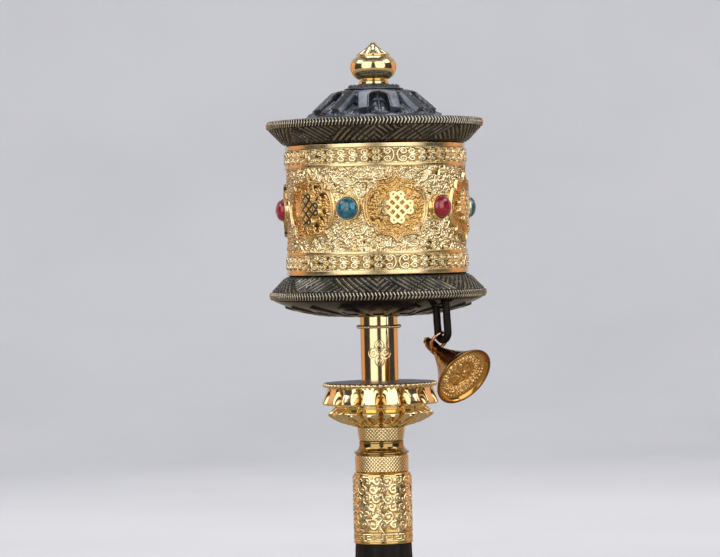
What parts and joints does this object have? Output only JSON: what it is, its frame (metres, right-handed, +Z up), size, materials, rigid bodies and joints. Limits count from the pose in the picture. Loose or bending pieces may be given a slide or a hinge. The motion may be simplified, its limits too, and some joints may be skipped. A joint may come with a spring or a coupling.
{
  "type": "prayer wheel",
  "caption": "Hand-held prayer wheel: a gilt relief drum with dark notched brims spins on a steel spindle over a lotus collar and black grip, driven round by a bell-shaped weight on a thong.",
  "frame": {"origin": "centre of the end cap's flat bottom, on the spin axis", "axes": "+Z up the spindle to the finial; -Y is the side seen in front, with a medallion just right of the middle; the weight hangs at 48 degrees from +X towards -Y"},
  "size_m": [0.0806, 0.0832, 0.3092],
  "materials": {
    "gilt_brass": "polished gilt, cast and chased relief",
    "steel": "plain ground steel",
    "plain_brass": "turned brass, unplated",
    "blackened_metal": "blackened casting, brassy where it is worn",
    "black_wood": "black lacquered hardwood, satin",
    "maroon_leather": "dark maroon leather",
    "black_leather": "black leather, smooth",
    "copper": "bright copper wire",
    "antique_brass": "dark antique brass, bright on the relief",
    "card_tube": "plain card tube",
    "scroll_paper": "blank rolled paper",
    "red_tie": "woven cotton tape",
    "turquoise": "polished, mottled cabochon",
    "coral": "polished red cabochon"
  },
  "bodies": {
    "handle": {"end_cap": "gilt_brass", "handle_grip": "black_wood", "ferrule": "gilt_brass", "knurled_collar": "gilt_brass", "knurled_sleeve": "gilt_brass", "lotus_collar": "gilt_brass", "lotus_bead_ring": "gilt_brass", "lotus_leather_disc": "maroon_leather", "shaft_tube": "gilt_brass", "shaft_bead_ring": "gilt_brass", "spindle": "steel", "clamp_nut": "steel", "bearing_seat": "plain_brass", "lower_inner_ring": "steel", "upper_inner_ring": "steel", "finial_spacer": "plain_brass", "finial": "gilt_brass"},
    "drum": {"base_plate": "blackened_metal", "lower_brim": "blackened_metal", "drum_shell": "gilt_brass", "lower_scroll_band": "gilt_brass", "upper_scroll_band": "gilt_brass", "upper_brim": "blackened_metal", "dome": "blackened_metal", "core_tube": "card_tube", "lower_outer_ring": "steel", "upper_outer_ring": "steel", "prayer_scroll": "scroll_paper", "scroll_ties": "red_tie", "thong_bar": "blackened_metal", "medallion_1": "gilt_brass", "medallion_2": "gilt_brass", "medallion_3": "gilt_brass", "medallion_4": "gilt_brass", "medallion_5": "gilt_brass", "medallion_6": "gilt_brass", "stone_setting_1": "gilt_brass", "stone_setting_2": "gilt_brass", "stone_setting_3": "gilt_brass", "stone_setting_4": "gilt_brass", "stone_setting_5": "gilt_brass", "stone_setting_6": "gilt_brass", "turquoise_stone_1": "turquoise", "turquoise_stone_2": "turquoise", "turquoise_stone_3": "turquoise", "coral_stone_1": "coral", "coral_stone_2": "coral", "coral_stone_3": "coral"},
    "lower_cage": {"lower_ball_cage": "plain_brass", "lower_balls": "steel"},
    "upper_cage": {"upper_ball_cage": "plain_brass", "upper_balls": "steel"},
    "thong": {"leather_thong": "black_leather"},
    "ring": {"jump_ring": "copper"},
    "bell": {"bell_weight": "antique_brass", "bell_face": "antique_brass"}
  },
  "joints": [
    {"name": "drum_spin", "type": "hinge", "parent": "handle", "child": "drum", "pos_m": [0, 0, 0.25], "axis": [0, 0, 1], "continuous": true},
    {"name": "lower_cage_turn", "type": "hinge", "parent": "handle", "child": "lower_cage", "pos_m": [0, 0, 0.2125], "axis": [0, 0, 1], "continuous": true},
    {"name": "upper_cage_turn", "type": "hinge", "parent": "handle", "child": "upper_cage", "pos_m": [0, 0, 0.2885], "axis": [0, 0, 1], "continuous": true},
    {"name": "thong_swing", "type": "hinge", "parent": "drum", "child": "thong", "pos_m": [0.02248, -0.02497, 0.21245], "axis": [-0.7431, -0.6691, 0], "range_deg": [-8, 42]},
    {"name": "ring_tilt", "type": "hinge", "parent": "thong", "child": "ring", "pos_m": [0.02302, -0.02556, 0.2018], "axis": [-0.7431, -0.6691, 0], "range_deg": [-12, 35]},
    {"name": "bell_nod", "type": "hinge", "parent": "ring", "child": "bell", "pos_m": [0.02032, -0.02257, 0.19583], "axis": [-0.7431, -0.6691, 0], "range_deg": [-12, 14]}
  ],
  "couplings": [
    {"joint": "lower_cage_turn", "follows": "drum_spin", "ratio": 0.6429},
    {"joint": "upper_cage_turn", "follows": "drum_spin", "ratio": 0.6429}
  ]
}
